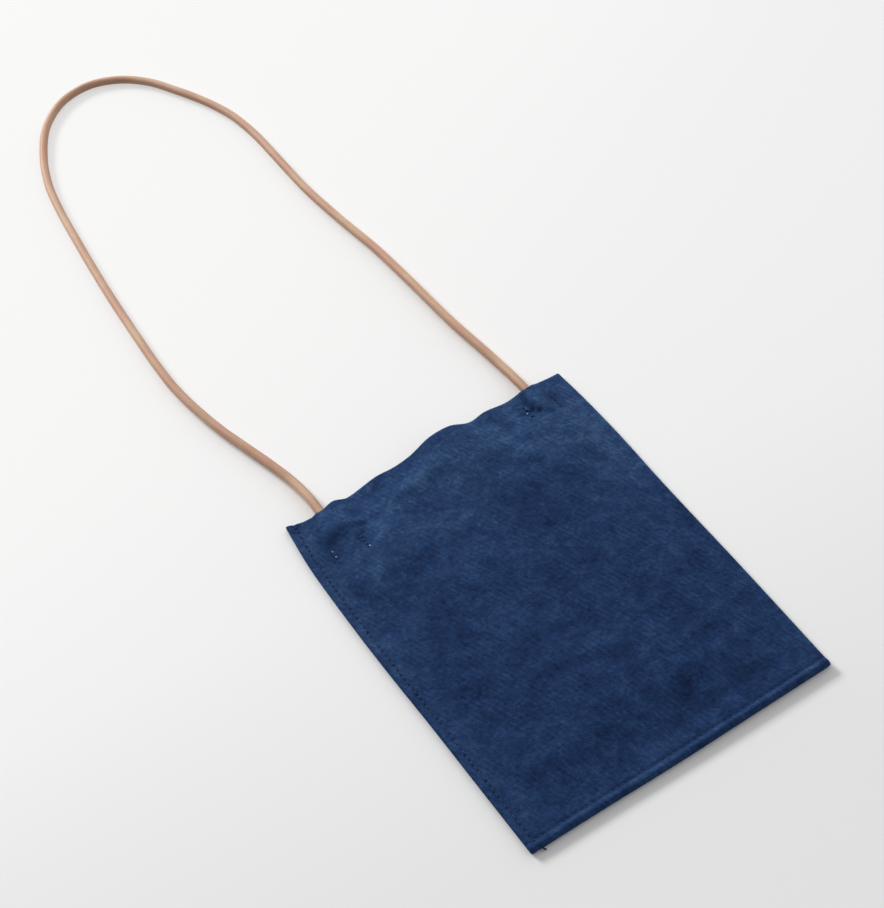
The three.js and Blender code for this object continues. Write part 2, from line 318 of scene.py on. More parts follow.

# Loose ends: a snipped thread at the lower left corner, and pale picks in needle holes by the tacks,
# which also paint the tack thread's glints as highlights.
TAIL_ROUTE = (
    (-76.5, 2 - MOUTH, 1.6), (-76.5, -0.3 - MOUTH, 1.5),
    (-76.2, -1 - MOUTH, 1.2), (-75.6, -1.3 - MOUTH, 0.8),
)
TAIL_STEPS = 6
TAIL_RADIUS = 0.4
TAIL_SIDES = 8
PICKS = ((-69.3, 85.1), (-69.2, 80.8), (-53.1, 73.2), (52.6, 98.1))
PICK_LENGTH = 1.3
PICK_WIDTH = 0.75
PICK_LIFT = 0.3
PICK_TURN = 0.5

# Weave: width of a yarn, bend of the grain per metre, and how far its ribs wander, in radians.
YARN = 0.5
GRAIN_BEND = 0.3
RIB_WANDER = 1.6

# Painted shade in the needle holes and along the groove of the bottom seam: how far out it is darkest,
# and where it ends.
HOLE_DARK = 0.35
HOLE_END = 0.95
SEAM_LINE_DARK = 0.3
SEAM_LINE_END = 0.9

# Where along the panel the painted shade in the side seam's needle holes begins to show more, and where
# it shows most.
HOLES_SHOW_FROM = LENGTH - 32
HOLES_SHOW_FULL = LENGTH - 14

# Colours as they are seen on a screen, from 0 to 255, with their places on a ramp.
INDIGO = ((0.0, (18, 33, 65)), (0.42, (30, 52, 89)), (0.7, (40, 64, 102)), (1.0, (57, 84, 121)))
HOLE_SHADE = (8, 14, 32)
BLUE_THREAD = ((25, 41, 76), (50, 75, 117))
# Darker thread for the right tacks, partly painted shade of their pucker and needle holes.
DARK_AND_SHADED_THREAD = ((8, 14, 34), (24, 38, 72))
# Pale thread at the tacks, partly a painted highlight for the tack thread's glints.
PALE_GLINT_THREAD = ((120, 138, 168), (190, 200, 216))
PINK_TAN = (205, 157, 136)
YELLOW_TAN = (212, 179, 150)
SHADED_TAN = (158, 118, 92)
# Painted light on the floor: its colour falls off away from the window.
FLOOR_FALLOFF_TONES = ((0.1, (230, 230, 230)), (0.37, (241, 241, 241)), (0.9, (245, 245, 244)))
FLOOR_WHITE = (246, 246, 245)

# Light, in metres: a soft room that is brighter beyond the mouth and on the right, and one window.
ROOM_LIGHT = 0.59
ROOM_TOWARD_MOUTH = 0.31
ROOM_TOWARD_RIGHT = 0.5
ROOM_LEAST = 0.04
ROOM_SEEN = 0.9
WINDOW_PLACE = (-1.5, 5.3, 2.95)
WINDOW_AIM = (0, 0.05, 0)
WINDOW_SIZE = (2.4, 1.4)
WINDOW_POWER = 320

# Floor, in metres: its size, and how its painted falloff of light slants across it on the way toward the
# window.
FLOOR_HALF = 4
FLOOR_DROP = 0.05 * MM
NEAR_SLANT = 0.2
SLANT_LOST = 0.7
SLANT_RUN = 0.3
TONE_START = -0.2
TONE_RUN = 0.7

# Where the floor goes white: toward the window, and away from the middle of the picture.
WINDOW_WHITE = 0.6
WINDOW_WHITE_RUN = (0.1, 0.42)
FAR_WHITE = 0.95
FAR_WHITE_RUN = (0.42, 1.0)
PICTURE_MIDDLE = (0.04, 0.16, 0)


# Rises smoothly from 0 to 1 as the share goes from 0 to 1.
def ease(share):
    share = np.clip(share, 0, 1)
    return share * share * (3 - 2 * share)


# A bump that is 1 within its flat half width and falls to 0 over its run.
def bump(distance, flat, run):
    return 1 - ease((np.abs(distance) - flat) / run)


# A smooth line through a row of places and their values.
def smooth_line(at, places, values):
    places = np.array(places, float)
    values = np.array(values, float)
    slopes = np.gradient(values, places)
    i = np.clip(np.searchsorted(places, at) - 1, 0, len(places) - 2)
    span = places[i + 1] - places[i]
    share = np.clip((at - places[i]) / span, 0, 1)
    rise = ease(share)
    lean = share * (1 - share) * span
    return (
        values[i] * (1 - rise) + values[i + 1] * rise
        + lean * ((1 - share) * slopes[i] - share * slopes[i + 1])
    )


# 1 on a line of points, falling to 0 at the half width beside it.
def beside_line(x, y, points, half):
    nearest = np.full(np.shape(x), np.inf)
    for (ax, ay), (bx, by) in zip(points, points[1:]):
        run_x, run_y = bx - ax, by - ay
        share = np.clip(((x - ax) * run_x + (y - ay) * run_y) / (run_x**2 + run_y**2), 0, 1)
        nearest = np.minimum(nearest, np.hypot(x - ax - share * run_x, y - ay - share * run_y))
    return bump(nearest, 0, half)


# Noise at every place, in cells of the given size.
def crumple(x, y, cell, layer):
    points = zip(np.ravel(x) / cell, np.ravel(y) / cell)
    found = [noise.noise(Vector((px, py, layer))) for px, py in points]
    return np.array(found).reshape(np.shape(x))


# Washed creases: sharp crests where the noise crosses zero, 1 on a crest.
def crests(x, y):
    shift = crumple(x, y, CREST_SHIFT_CELL * CREST_CELL, CREST_LAYER + CREST_SHIFT_LAYER)
    shift = CREST_SHIFT * CREST_CELL * shift
    off_crest = np.abs(crumple(x + shift, y - shift, CREST_CELL, CREST_LAYER))
    return 1 - np.minimum(1, CREST_SHARPNESS * off_crest)


# Height of the front panel: a low pillow, the mouth's waves, a ridge over each cord end, and folds.
def panel_height(x, y):
    inward = ease((x - FLAT_LEFT) / SIDE_RUN) * ease((FLAT_RIGHT - x) / SIDE_RUN)
    inward = inward * ease((y - FLAT_BOTTOM) / BOTTOM_RUN)
    height = EDGE_HEIGHT + (FILL_HEIGHT - EDGE_HEIGHT) * inward
    places, heights, _ = zip(*MOUTH_EDGE)
    reach = ease(1 - (MOUTH - y) / MOUTH_REACH)
    height = height + reach * (smooth_line(x, places, heights) - height)
    inner = np.minimum(np.minimum(x - SIDE_SEAM, HALF_WIDTH - x), y - BOTTOM_SEAM)
    inner = ease((inner - CALM_EDGE) / CALM_RUN) * ease((MOUTH - y) / CALM_MOUTH)
    for points, half, rise in FOLDS:
        height = height + rise * beside_line(x, y, points, half) * inner
    for end in ENDS.values():
        height = over_cord_end(x, y, height, end)
    for points, half, rise in PUCKERS:
        height = height + rise * beside_line(x, y, points, half) * inner
    for cell, rise, layer in CRUMPLES:
        height = height + rise * crumple(x, y, cell, layer) * inner
    return height + CREST_RISE * crests(x, y) * inner


# The panel drawn over a cord end: a ridge, a bulge at the knot, a hump and dimples at the tacks.
def over_cord_end(x, y, height, end):
    at_knot = bump(y - end["knot"], KNOT_LENGTH / 2, KNOT_SHOULDER)
    ridge = CORD_COVER + (KNOT_COVER - CORD_COVER) * at_knot
    flat = RIDGE_FLAT + KNOT_WIDER * at_knot
    outward = (x - cord_across(end, y)) * end["side"]
    run = np.where(outward > 0, RIDGE_OUTER_RUN, RIDGE_INNER_RUN)
    mouth_run = np.where(outward > 0, RIDGE_OUTER_MOUTH_RUN, RIDGE_INNER_MOUTH_RUN)
    run = mouth_run + (run - mouth_run) * ease((MOUTH - y) / RIDGE_SPREAD)
    along = np.where(y > end["knot"], 1, bump(y - end["knot"], KNOT_LENGTH / 2, KNOT_RUN))
    height = height + (np.maximum(height, ridge) - height) * bump(outward, flat, run) * along
    hump = bump(y - end["hump"], 0, HUMP_LENGTH) * bump(outward, HUMP_FLAT, HUMP_RUN)
    height = height + end["swell"] * hump * ease((MOUTH - y) / HUMP_FROM_MOUTH)
    for side in (-1, 1):
        tack_x, tack_y = tack_place(end, side)
        pull = bump(x - tack_x, *DIMPLE_ACROSS) * bump(y - tack_y, *DIMPLE_ALONG)
        height = height - DIMPLE_DEPTH * pull * (np.abs(outward) > DIMPLE_CLEAR)
    return height


# Where the cord lies behind the panel: it runs from its place at the mouth to its tab.
def cord_across(end, y):
    share = np.clip((MOUTH - y) / (MOUTH - end["tab"]), 0, 1)
    return end["mouth"] + (end["x"] - end["mouth"]) * share


# Where the middle of a tack lies: on the outer or the inner side of its cord end.
def tack_place(end, side):
    return end["x"] + side * TACK_OFFSET, end["tab"] + side * TACK_OFFSET * end["slope"]


# Depth of the grooves that the two seams draw into the cloth.
def seam_groove(x, y):
    side_depth, side_flat, side_run = SIDE_GROOVE
    bottom_depth, bottom_flat, bottom_run = BOTTOM_GROOVE
    side = side_depth * bump(x - SIDE_SEAM, side_flat, side_run)
    return np.maximum(side, bottom_depth * bump(y - BOTTOM_SEAM, bottom_flat, bottom_run))


# Top of the canvas with the grooves of its two seams and the rolled welt below the lower one.
def front_height(x, y):
    height = panel_height(x, np.maximum(y, BOTTOM_SEAM))
    below = BOTTOM_SEAM - y
    droop = WELT_DROOP * np.clip((below - WELT_RUN) / (BOTTOM_INSET - WELT_RUN), 0, 1) ** 2
    full = ease((x - WELT_FULL_FROM) / WELT_FULL_RUN)
    rise = WELT_RISE * (WELT_LEFT_SHARE + (1 - WELT_LEFT_SHARE) * full)
    return height + rise * ease(below / WELT_RUN) - droop - seam_groove(x, y)


# Underside of the pouch: flat on the surface but for its seam grooves and slight lifts.
def back_height(x, y):
    lift = BACK_LIFT * (1 + crumple(x, y, BACK_CELL, BACK_LAYER))
    lift = lift * ease((np.minimum(x - SIDE_SEAM, y - BOTTOM_SEAM) - CALM_EDGE) / CALM_RUN)
    return seam_groove(x, y) + lift * ease((HALF_WIDTH - x) / CALM_RUN)


# How a place on the cutting table lies on the floor: bowed edges, and the mouth drawn back.
def plan_place(x, y, setback_share):
    places, _, setbacks = zip(*MOUTH_EDGE)
    drawn = smooth_line(x, places, setbacks) * setback_share * ease(1 - (MOUTH - y) / MOUTH_REACH)
    right_share = (x + HALF_WIDTH) / WIDTH
    right_bow = smooth_line(y, *zip(*RIGHT_BOW)) * right_share
    left_bow = smooth_line(y, *zip(*LEFT_BOW)) * (1 - right_share)
    bottom_bow = smooth_line(x, *zip(*BOTTOM_BOW)) * ((MOUTH - y) / LENGTH) ** 2
    return x + right_bow - left_bow, y - drawn - bottom_bow


# Where one place on the cutting table lies on the finished front panel.
def on_panel(x, y):
    flat_x, flat_y = np.array([x]), np.array([y])
    place_x, place_y = plan_place(flat_x, flat_y, 1)
    return Vector((place_x[0], place_y[0], front_height(flat_x, flat_y)[0]))


# How faded the cloth is, with painted shade: lighter on crests and folds that stand up, and darker in
# valleys, where the darkening is painted shade.
def panel_wear_and_shade(x, y, is_front):
    from_left = x + HALF_WIDTH
    wear = TOP_PALER * ease((y - TOP_PALER_FROM) / TOP_PALER_RUN) * ease(from_left / TOP_PALER_LEFT_RUN)
    wear = np.maximum(wear, LEFT_PALER * bump(from_left, LEFT_PALER_FLAT, LEFT_PALER_RUN))
    wear = np.maximum(wear, WELT_PALER * ease((BOTTOM_SEAM - y) / WELT_PALER_RUN))
    # Fold crests are worn paler; the darkening in fold valleys and puckers is painted shade.
    for lines, share in ((FOLDS, FOLD_WEAR_AND_SHADE), (PUCKERS, PUCKER_SHADE)):
        for points, half, rise in lines:
            wear = wear + share * rise * beside_line(x, y, points, half) * is_front
    corner_x, corner_y = CORNER_PLACE
    wear = wear - CORNER_DARK * bump(np.hypot(x - corner_x, y - corner_y), CORNER_FLAT, CORNER_RUN)
    sides = ease((np.abs(x) - SIDE_PALER_FROM) / SIDE_PALER_RUN)
    sides = sides * ease((y - SIDE_PALER_LOW) / SIDE_PALER_LOW_RUN)
    sides = sides * np.where(x > 0, 1 - ease((y - RIGHT_PALER_HIGH) / RIGHT_PALER_HIGH_RUN), 1)
    bottom = bump(y - BOTTOM_PALER_LINE, BOTTOM_PALER_FLAT, BOTTOM_PALER_RUN)
    wear = wear + (SIDE_PALER * sides + BOTTOM_PALER * bottom) * is_front
    # Paler and darker places of the cloth; the darker ones are partly painted shade.
    for across, along, half_width, half_length, paler in PALER_AND_SHADED_PLACES:
        distance = np.hypot((x - across) / half_width, (y - along) / half_length)
        wear = wear + paler * bump(distance, 0, 1) * is_front
    # Painted shade in the dimples that the tacks pull into the cloth.
    for end in ENDS.values():
        for side in (-1, 1):
            tack_x, tack_y = tack_place(end, side)
            distance = np.hypot(x - tack_x, (y - tack_y) / TACK_SHADE_STRETCH)
            wear = wear - TACK_SHADE * bump(distance, TACK_SHADE_FLAT, TACK_SHADE_RUN) * is_front
    from_rim = np.minimum(HALF_WIDTH - x, MOUTH - y)
    return wear + CREST_WEAR * crests(x, y) + LEAST_WEAR_AND_SHADE + RIM_WEAR * bump(from_rim, 0, RIM_WEAR_RUN)


# Shader sockets
class Shade:
    """A shader socket: arithmetic on it adds Math nodes, and node() adds any other."""

    def __init__(self, tree, socket=None):
        self.tree = tree
        self.socket = socket

    def node(self, kind, settings=None, inputs=None, output=0):
        made = self.tree.nodes.new("ShaderNode" + kind)
        for name, value in (settings or {}).items():
            if name == "stops":
                fill_ramp(made.color_ramp, value)
            else:
                setattr(made, name, value)
        for name, value in (inputs or {}).items():
            if isinstance(value, Shade):
                self.tree.links.new(value.socket, made.inputs[name])
            else:
                made.inputs[name].default_value = value
        return Shade(self.tree, made.outputs[output])

    def maths(self, operation, *others):
        return self.node("Math", {"operation": operation}, dict(enumerate((self, *others))))

    def __add__(self, other):
        return self.maths("ADD", other)

    def __sub__(self, other):
        return self.maths("SUBTRACT", other)

    def __rsub__(self, other):
        return self.node("Math", {"operation": "SUBTRACT"}, {0: other, 1: self})

    def __mul__(self, other):
        return self.maths("MULTIPLY", other)

    def __truediv__(self, other):
        return self.maths("DIVIDE", other)

    __radd__ = __add__
    __rmul__ = __mul__

    def clamped(self):
        return self.node("Clamp", None, {"Value": self})

    def mapped(self, low, high):
        """0 at the low value and 1 at the high one, smoothly between them."""
        settings = {"interpolation_type": "SMOOTHSTEP"}
        return self.node("MapRange", settings, {"Value": self, "From Min": low, "From Max": high})

    def blended(self, first, second):
        """A mix of two colours, with this socket as its share."""
        return self.node("Mix", {"data_type": "RGBA"}, {0: self, 6: first, 7: second}, 2)

    def ramped(self, tones):
        """A ramp of colours, with this socket as the place on it."""
        stops = [(place, colour(*seen)) for place, seen in tones]
        return self.node("ValToRGB", {"stops": stops}, {"Fac": self})

    def bumped(self, distance, strength, under=None):
        """A normal bumped by this socket as its height, on top of another layer's normal."""
        inputs = {"Height": self, "Distance": distance, "Strength": strength}
        if under:
            inputs["Normal"] = under
        return self.node("Bump", None, inputs)

    def stretched(self, scale, turn=0):
        """These coordinates scaled, and turned about the panel's own axis."""
        inputs = {"Vector": self, "Rotation": (0, 0, turn), "Scale": scale}
        return self.node("Mapping", {"vector_type": "POINT"}, inputs)

    def noise(self, scale, detail=2.0, roughness=0.5, kind="FBM", output=0):
        inputs = {"Vector": self, "Scale": scale, "Detail": detail, "Roughness": roughness}
        return self.node("TexNoise", {"noise_type": kind}, inputs, output)

    def swing(self, scale, detail=2.0, roughness=0.5):
        """Noise that swings about zero."""
        return self.noise(scale, detail, roughness) - 0.5

    def wandered(self, scale, amount):
        """These coordinates moved about by a soft noise."""
        drift = self.noise(scale, output="Color")
        settings = {"operation": "MULTIPLY_ADD"}
        moved = self.node("VectorMath", settings, {0: drift, 1: (amount,) * 3, 2: (-amount / 2,) * 3})
        return self.node("VectorMath", {"operation": "ADD"}, {0: self, 1: moved})

    def part(self, name):
        """One of the coordinates, by its letter."""
        return self.node("SeparateXYZ", None, {"Vector": self}, name)


def fill_ramp(ramp, stops):
    while len(ramp.elements) < len(stops):
        ramp.elements.new(0.5)
    for element, (place, shade) in zip(ramp.elements, stops):
        element.position = place
        element.color = shade


# A colour as it is seen on a screen, from 0 to 255, made linear.
def colour(red, green, blue):
    def linear(value):
        share = value / 255
        return share / 12.92 if share <= 0.04045 else ((share + 0.055) / 1.055) ** 2.4

    return (linear(red), linear(green), linear(blue), 1)


# A material and its principled shader, with its constant sockets set.
def finish(name, **constants):
    material = bpy.data.materials.new(name)
    material.use_nodes = True
    tree = material.node_tree
    tree.nodes.clear()
    shader = tree.nodes.new("ShaderNodeBsdfPrincipled")
    output = tree.nodes.new("ShaderNodeOutputMaterial")
    tree.links.new(shader.outputs["BSDF"], output.inputs["Surface"])
    for socket, value in constants.items():
        shader.inputs[socket.replace("_", " ")].default_value = value
    return material, shader, Shade(tree)


def link(shader, socket, shade):
    shade.tree.links.new(shade.socket, shader.inputs[socket])


# Needle holes of a row of stitches, where shade is painted: 1 in a hole, from the place beside and along
# the row.
def needle_holes(beside, along, start, pitch):
    step = ((along - start * MM) / (pitch * MM) + 0.5).maths("FRACT") - 0.5
    step = step * (pitch * MM)
    distance = (beside * beside + step * step).maths("SQRT")
    return 1 - distance.mapped(HOLE_DARK * MM, HOLE_END * MM)


# Fibres that lie along a direction of the cloth: streaks of a length and a width in millimetres.
def fibres(sheet, degrees, length, width):
    laid = sheet.stretched((1, 1, 1), math.radians(degrees))
    return laid.stretched((1 / (width * MM), 1 / (length * MM), 1)).swing(1.0, detail=3.0, roughness=0.6)


# Ribs of the weave that show in patches: waves across a direction of the cloth, bent as its grain is.
def ribs(sheet, degrees, pitch):
    place = sheet.stretched((1, 1, 1), math.radians(degrees))
    from_middle = sheet.part("Y") - MOUTH * MM
    bent = place.part("X") + GRAIN_BEND * from_middle * from_middle
    waves = (bent * (2 * math.pi / (pitch * MM)) + RIB_WANDER * sheet.noise(50)).maths("SINE")
    return waves * place.noise(70).mapped(0.36, 0.62)


# Washed indigo canvas: plain weave, uneven fibres, chalky creases and clouds of faded dye, with painted
# shade in fold valleys, puckers, tack dimples, needle holes and the bottom seam's groove.
def indigo_canvas():
    material, shader, start = finish("indigo_canvas", Specular_IOR_Level=0.06)
    sheet = start.node("UVMap", {"uv_map": "canvas"})
    across, along = sheet.part("X"), sheet.part("Y")
    # The attribute holds worn, paler cloth and painted shade in fold valleys, puckers and tack dimples.
    wear = start.node("Attribute", {"attribute_name": "wear"}, None, "Fac")

    drawn = sheet.wandered(28, 14 * MM).wandered(110, 4 * MM)
    clouds = sheet.swing(22, detail=3.0, roughness=0.55)
    patches = drawn.swing(120, detail=6.0, roughness=0.7)
    veins = drawn.noise(150, detail=3.0, roughness=0.6, kind="RIDGED_MULTIFRACTAL")
    specks = sheet.swing(800, roughness=0.6)
    flecks = sheet.swing(430, roughness=0.6)
    long_fibres = fibres(drawn, -18, length=7, width=1.1)
    cross_fibres = fibres(drawn, -71, length=5, width=0.9)
    wisps = fibres(drawn, -44, length=6, width=0.8).mapped(0.08, 0.24)
    stray = fibres(drawn, -80, length=5, width=0.7).mapped(0.1, 0.24)
    creases = fibres(drawn, -47, length=16, width=3.5)
    warp = fibres(sheet, 0, length=9, width=YARN)
    weft = fibres(sheet, 90, length=9, width=YARN)
    steep_ribs = ribs(sheet, -20, pitch=2.55)
    flat_ribs = ribs(sheet, -72, pitch=1.37)

    least_faded = 0.34
    layers = (
        (0.55, clouds), (1.25, patches), (0.06, veins), (0.45, specks), (0.75, flecks), (0.32, wear),
        (0.3, long_fibres), (0.3, cross_fibres), (0.2, warp), (0.2, weft),
        (0.16, wisps), (0.16, stray), (0.4, creases), (0.075, steep_ribs), (0.025, flat_ribs),
    )
    faded_and_shaded = sum((share * layer for share, layer in layers), least_faded)

    from_edge = across.maths("MINIMUM", 2 * WIDTH * MM - across)
    off_side, off_bottom = from_edge - SIDE_INSET * MM, along - BOTTOM_INSET * MM
    side_holes = needle_holes(off_side, along, BOTTOM_INSET + SEAM_END, SIDE_PITCH)
    bottom_holes = needle_holes(off_bottom, from_edge, SEAM_END, BOTTOM_PITCH)
    seam_groove_shade = 1 - off_bottom.maths("ABSOLUTE").mapped(SEAM_LINE_DARK * MM, SEAM_LINE_END * MM)
    shown = sheet.noise(140, detail=1.0).mapped(0.3, 0.7)
    near_mouth = along.mapped(HOLES_SHOW_FROM * MM, HOLES_SHOW_FULL * MM)
    # Painted shade in the needle holes and along the bottom seam's groove darkens the cloth's colour.
    side_dark = side_holes * (0.25 + 0.55 * shown + 0.2 * near_mouth)
    dark = side_dark + 0.12 * bottom_holes + 0.06 * seam_groove_shade
    dyed_and_shaded = faded_and_shaded.clamped().ramped(INDIGO)
    link(shader, "Base Color", dark.clamped().blended(dyed_and_shaded, colour(*HOLE_SHADE)))
    link(shader, "Roughness", 0.9 + 0.15 * patches)

    turn = math.pi / (YARN * MM)
    weave = (across * turn).maths("SINE") * (along * turn).maths("SINE")
    rough = (0.5 * weave + 1.5 * (warp + weft) + specks).bumped(0.1 * MM, 0.7)
    nap = 0.6 * (long_fibres + cross_fibres) + 1.6 * patches + 0.12 * veins
    link(shader, "Normal", nap.bumped(0.7 * MM, 0.5, rough))
    return material


# Blue sewing thread, with the twist of its plies.
def blue_thread(name, tones):
    material, shader, start = finish(name, Roughness=0.6, Specular_IOR_Level=0.15)
    place = start.node("TexCoord", None, None, "Object")
    ply, lay = 0.45 * MM, math.radians(35)
    plies = (place.stretched((1, 1, 1), lay).part("X") * (2 * math.pi / ply)).maths("SINE")
    shade = (0.5 + 0.25 * plies + 1.1 * place.swing(900, roughness=0.6)).clamped()
    dark, light = (colour(*tone) for tone in tones)
    link(shader, "Base Color", shade.blended(dark, light))
    link(shader, "Normal", plies.bumped(0.06 * MM, 0.8))
    return material


# Pale thread from below that shows in a few needle holes, and stands in for the tack thread's glints as a
# painted highlight.
def pale_glint_thread():
    material, shader, start = finish("pale_glint_thread", Roughness=0.5, Specular_IOR_Level=0.5)
    place = start.node("TexCoord", None, None, "Object")
    dark, light = (colour(*tone) for tone in PALE_GLINT_THREAD)
    link(shader, "Base Color", place.noise(2500, roughness=0.6).blended(dark, light))
    return material


# Natural tan leather: pinker and yellower stretches, fine grain, small pores and a darker inner side.
def tan_leather():
    material, shader, start = finish("tan_leather", Specular_IOR_Level=0.3, Sheen_Weight=0.05)
    place = start.node("UVMap", {"uv_map": "cord"})
    tone = place.stretched((26, 0, 1)).noise(1.0, detail=3.0, roughness=0.6)
    streaks = place.stretched((60, 900, 1)).swing(1.0, detail=3.0, roughness=0.6)
    pores = place.stretched((900, 1100, 1)).swing(1.0)
    around = place.part("Y") / (2 * math.pi * CORD_RADIUS * MM)
    inner_middle = 0.75
    inner_side = 1 - (around - inner_middle).maths("ABSOLUTE").mapped(0.04, 0.22)
    along = place.part("X")
    ends = 1 - along.mapped(0.15, 0.22) + along.mapped(0.8, 0.88)
    base = tone.mapped(0.35, 0.65).blended(colour(*PINK_TAN), colour(*YELLOW_TAN))
    worn = (0.5 + 1.1 * streaks + 0.35 * pores).clamped()
    shaded = (0.5 - 0.5 * worn.mapped(0.1, 0.9) + 0.4 * inner_side + 0.25 * ends).clamped()
    link(shader, "Base Color", shaded.blended(base, colour(*SHADED_TAN)))
    link(shader, "Roughness", 0.42 + 0.25 * worn)
    link(shader, "Normal", (0.7 * streaks + 0.6 * pores).bumped(0.25 * MM, 0.5))
    return material


# Pieces
def add_piece(name, bm, material, slot, *stands_for):
    mesh = bpy.data.meshes.new(name)
    bm.to_mesh(mesh)
    bm.free()
    mesh.shade_smooth()
    mesh.materials.append(material)
    made = bpy.data.objects.new(name, mesh)
    bpy.context.scene.collection.objects.link(made)
    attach(made, "root")
    if stands_for:
        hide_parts(*stands_for)
    return made


# Gives a sheet its thickness, inward from the side that is seen.
def add_wall(piece, thickness):
    wall = piece.modifiers.new("cloth", "SOLIDIFY")
    wall.thickness = thickness * MM
    wall.offset = -1


# The points of a smooth centripetal curve through the given ones.
def smooth_route(points, steps):
    points = [Vector(point) for point in points]
    padded = [2 * points[0] - points[1], *points, 2 * points[-1] - points[-2]]
    route = [points[0]]
    for before, start, end, after in zip(padded, padded[1:], padded[2:], padded[3:]):
        pairs = ((before, start), (start, end), (end, after))
        first, span, last = ((b - a).length ** 0.5 for a, b in pairs)
        leave = (start - before) / first - (end - before) / (first + span) + (end - start) / span
        arrive = (end - start) / span - (after - start) / (span + last) + (after - end) / last
        for step in range(1, steps + 1):
            t = step / steps
            route.append(
                (2 * t**3 - 3 * t**2 + 1) * start + (3 * t**2 - 2 * t**3) * end
                + (t**3 - 2 * t**2 + t) * span * leave + (t**3 - t**2) * span * arrive
            )
    return route


# A closed tube along a route, with a UV map of its length and girth in metres.
def tube(route, radius, sides):
    last = len(route) - 1
    bm = bmesh.new()
    girth = bm.loops.layers.uv.new("cord")
    bmesh.ops.create_grid(bm, x_segments=last, y_segments=sides, size=1)
    steps = [(b - a).length for a, b in zip(route, route[1:])]
    lengths = [sum(steps[:i]) for i in range(len(route))]
    for face in bm.faces:
        for loop in face.loops:
            station = round((loop.vert.co.x + 1) / 2 * last)
            share = (loop.vert.co.y + 1) / 2
            loop[girth].uv = (lengths[station] * MM, share * 2 * math.pi * radius * MM)
    sections = []
    side = Vector((0, 0, 1))
    for i, middle in enumerate(route):
        tangent = (route[min(i + 1, last)] - route[max(i - 1, 0)]).normalized()
        side = (side - side.dot(tangent) * tangent).normalized()
        sections.append((middle, side, tangent.cross(side)))
    for vert in bm.verts:
        middle, up, out = sections[round((vert.co.x + 1) / 2 * last)]
        angle = math.pi * vert.co.y
        around = Vector((math.cos(angle), math.sin(angle), 0))
        wobble = 1 + WOBBLE * noise.noise(middle * WOBBLE_ALONG + around * WOBBLE_AROUND)
        ring = (math.cos(angle) * up + math.sin(angle) * out) * radius * wobble
        vert.co = (middle + ring) * MM
    bmesh.ops.remove_doubles(bm, verts=bm.verts, dist=MERGE * MM)
    bmesh.ops.holes_fill(bm, edges=[edge for edge in bm.edges if edge.is_boundary], sides=sides)
    bmesh.ops.recalc_face_normals(bm, faces=bm.faces)
    return bm


# Lines across or along a panel: a rounded edge, then stretches of a length and a number of steps.
def panel_lines(*stretches):
    lines = [EDGE_RADIUS * (1 - math.cos(math.pi / 2 * i / EDGE_STEPS)) for i in range(EDGE_STEPS + 1)]
    for length, steps in stretches:
        lines += [lines[-1] + length * (i + 1) / steps for i in range(steps)]
    return lines


# Share of the panel's height that the cloth keeps at a distance in from a rounded edge.
def edge_lift(inset, radius):
    return np.sqrt(np.clip(1 - (1 - np.clip(inset / radius, 0, 1)) ** 2, 0, 1))


# Columns of the front panel, from the sewn side to the fold, and rows from the bottom to the mouth.
def panel_grid():
    taken = sum(length for length, _ in (*LEFT_COLUMNS, *RIGHT_COLUMNS)) + 2 * EDGE_RADIUS
    columns = panel_lines(*LEFT_COLUMNS, (WIDTH - taken, MIDDLE_COLUMNS), *RIGHT_COLUMNS)
    columns += [WIDTH - inset for inset in reversed(panel_lines())][1:]
    taken = sum(length for length, _ in (*LOW_ROWS, *MOUTH_ROWS)) + EDGE_RADIUS
    rows = panel_lines(*LOW_ROWS, (LENGTH - taken, MIDDLE_ROWS), *MOUTH_ROWS)
    return np.array(columns), np.array(rows)


